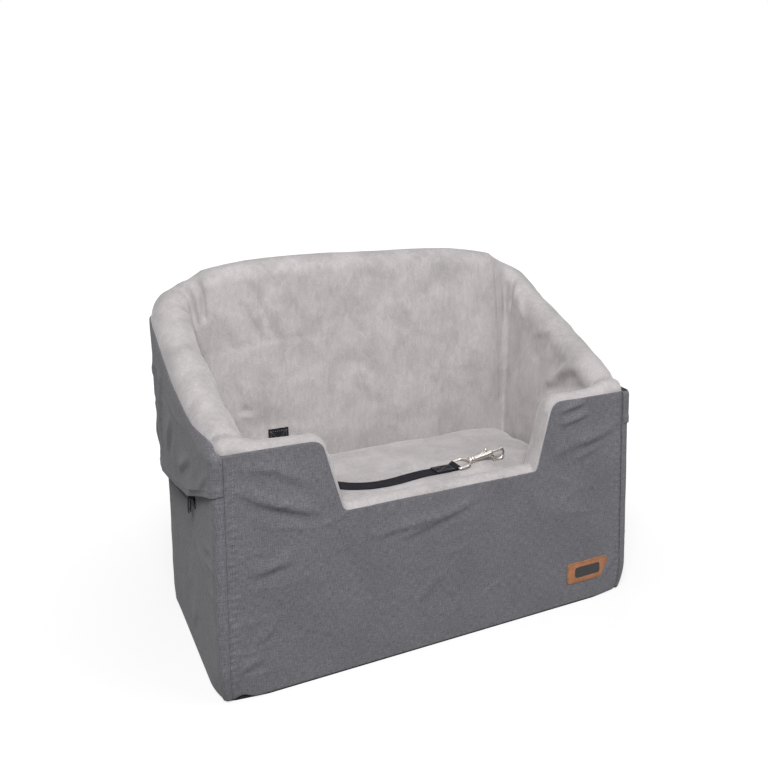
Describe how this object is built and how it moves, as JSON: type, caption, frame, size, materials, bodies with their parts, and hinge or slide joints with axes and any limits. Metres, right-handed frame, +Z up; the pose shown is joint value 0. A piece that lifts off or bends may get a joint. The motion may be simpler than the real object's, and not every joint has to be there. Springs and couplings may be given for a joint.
{
  "type": "dog car booster seat",
  "caption": "Boxed canvas booster seat with a lift-out fleece bucket, seat cushion, side zips and a tether strap that ends in a snap hook.",
  "frame": {"origin": "centre of the seat's bounding box, on the floor", "axes": "+X to the right across the seat as seen from its entry notch, +Y from the entry notch towards the back wall, +Z up"},
  "size_m": [0.6614, 0.3559, 0.517],
  "materials": {
    "canvas": "matt woven polyester canvas",
    "fleece": "short pile fleece",
    "foam": "open cell foam",
    "board": "bare fibreboard",
    "black_cloth": "coated black cloth",
    "webbing": "woven black webbing",
    "zip_tape": "black woven tape",
    "patch_leather": "plain copper-coloured patch",
    "nickel": "bright nickel plate",
    "spring_steel": "drawn wire",
    "black_metal": "black lacquer"
  },
  "bodies": {
    "booster": {"front_cover": "canvas", "left_lower_cover": "canvas", "right_lower_cover": "canvas", "left_upper_cover": "canvas", "right_upper_cover": "canvas", "back_cover": "canvas", "bottom_cover": "black_cloth", "front_board": "board", "back_board": "board", "left_board": "board", "right_board": "board", "floor_board": "board", "deck_board": "board", "long_rib": "board", "left_cross_rib": "board", "right_cross_rib": "board", "left_zip_upper_tape": "zip_tape", "left_zip_lower_tape": "zip_tape", "right_zip_upper_tape": "zip_tape", "right_zip_lower_tape": "zip_tape", "label_patch": "patch_leather", "left_belt_loop": "webbing", "right_belt_loop": "webbing"},
    "liner": {"left_fleece": "fleece", "right_fleece": "fleece", "back_fleece": "fleece", "front_fleece": "fleece", "left_foam": "foam", "right_foam": "foam", "back_foam": "foam", "front_foam": "foam", "liner_floor": "fleece", "seat_cushion": "fleece", "tether_anchor_patch": "webbing", "tether_webbing": "webbing", "tether_end_loop": "webbing"},
    "eye": {"swivel_eye": "nickel"},
    "hook": {"hook_body": "nickel", "bolt_spring": "spring_steel"},
    "bolt": {"hook_bolt": "nickel"},
    "left_slider": {"left_zip_slider": "black_metal"},
    "right_slider": {"right_zip_slider": "black_metal"},
    "left_pull": {"left_zip_pull": "webbing"},
    "right_pull": {"right_zip_pull": "webbing"}
  },
  "joints": [
    {"name": "liner_lift", "type": "slide", "parent": "booster", "child": "liner", "axis": [0, 0, 1], "range_m": [0, 0.3]},
    {"name": "left_slider_slide", "type": "slide", "parent": "booster", "child": "left_slider", "axis": [0, 0.9929, -0.1192], "range_m": [0, 0.15]},
    {"name": "right_slider_slide", "type": "slide", "parent": "booster", "child": "right_slider", "axis": [0, 0.9929, -0.1192], "range_m": [0, 0.15]},
    {"name": "left_pull_swing", "type": "hinge", "parent": "left_slider", "child": "left_pull", "pos_m": [-0.31935, -0.06332, 0.23564], "axis": [0, 1, 0], "range_deg": [0, 85]},
    {"name": "right_pull_swing", "type": "hinge", "parent": "right_slider", "child": "right_pull", "pos_m": [0.31935, -0.06332, 0.23564], "axis": [0, -1, 0], "range_deg": [0, 85]},
    {"name": "eye_tilt", "type": "hinge", "parent": "liner", "child": "eye", "pos_m": [0.06, -0.0871, 0.21725], "axis": [0, -1, 0], "range_deg": [0, 95]},
    {"name": "hook_swivel", "type": "hinge", "parent": "eye", "child": "hook", "pos_m": [0.08763, -0.0871, 0.22178], "axis": [0.9868, 0, 0.1619], "continuous": true},
    {"name": "bolt_slide", "type": "slide", "parent": "hook", "child": "bolt", "axis": [-0.9868, 0, -0.1619], "range_m": [0, 0.0075], "stiffness_N_per_m": 250, "springref_m": -0.004, "deforming": ["bolt_spring"]}
  ]
}
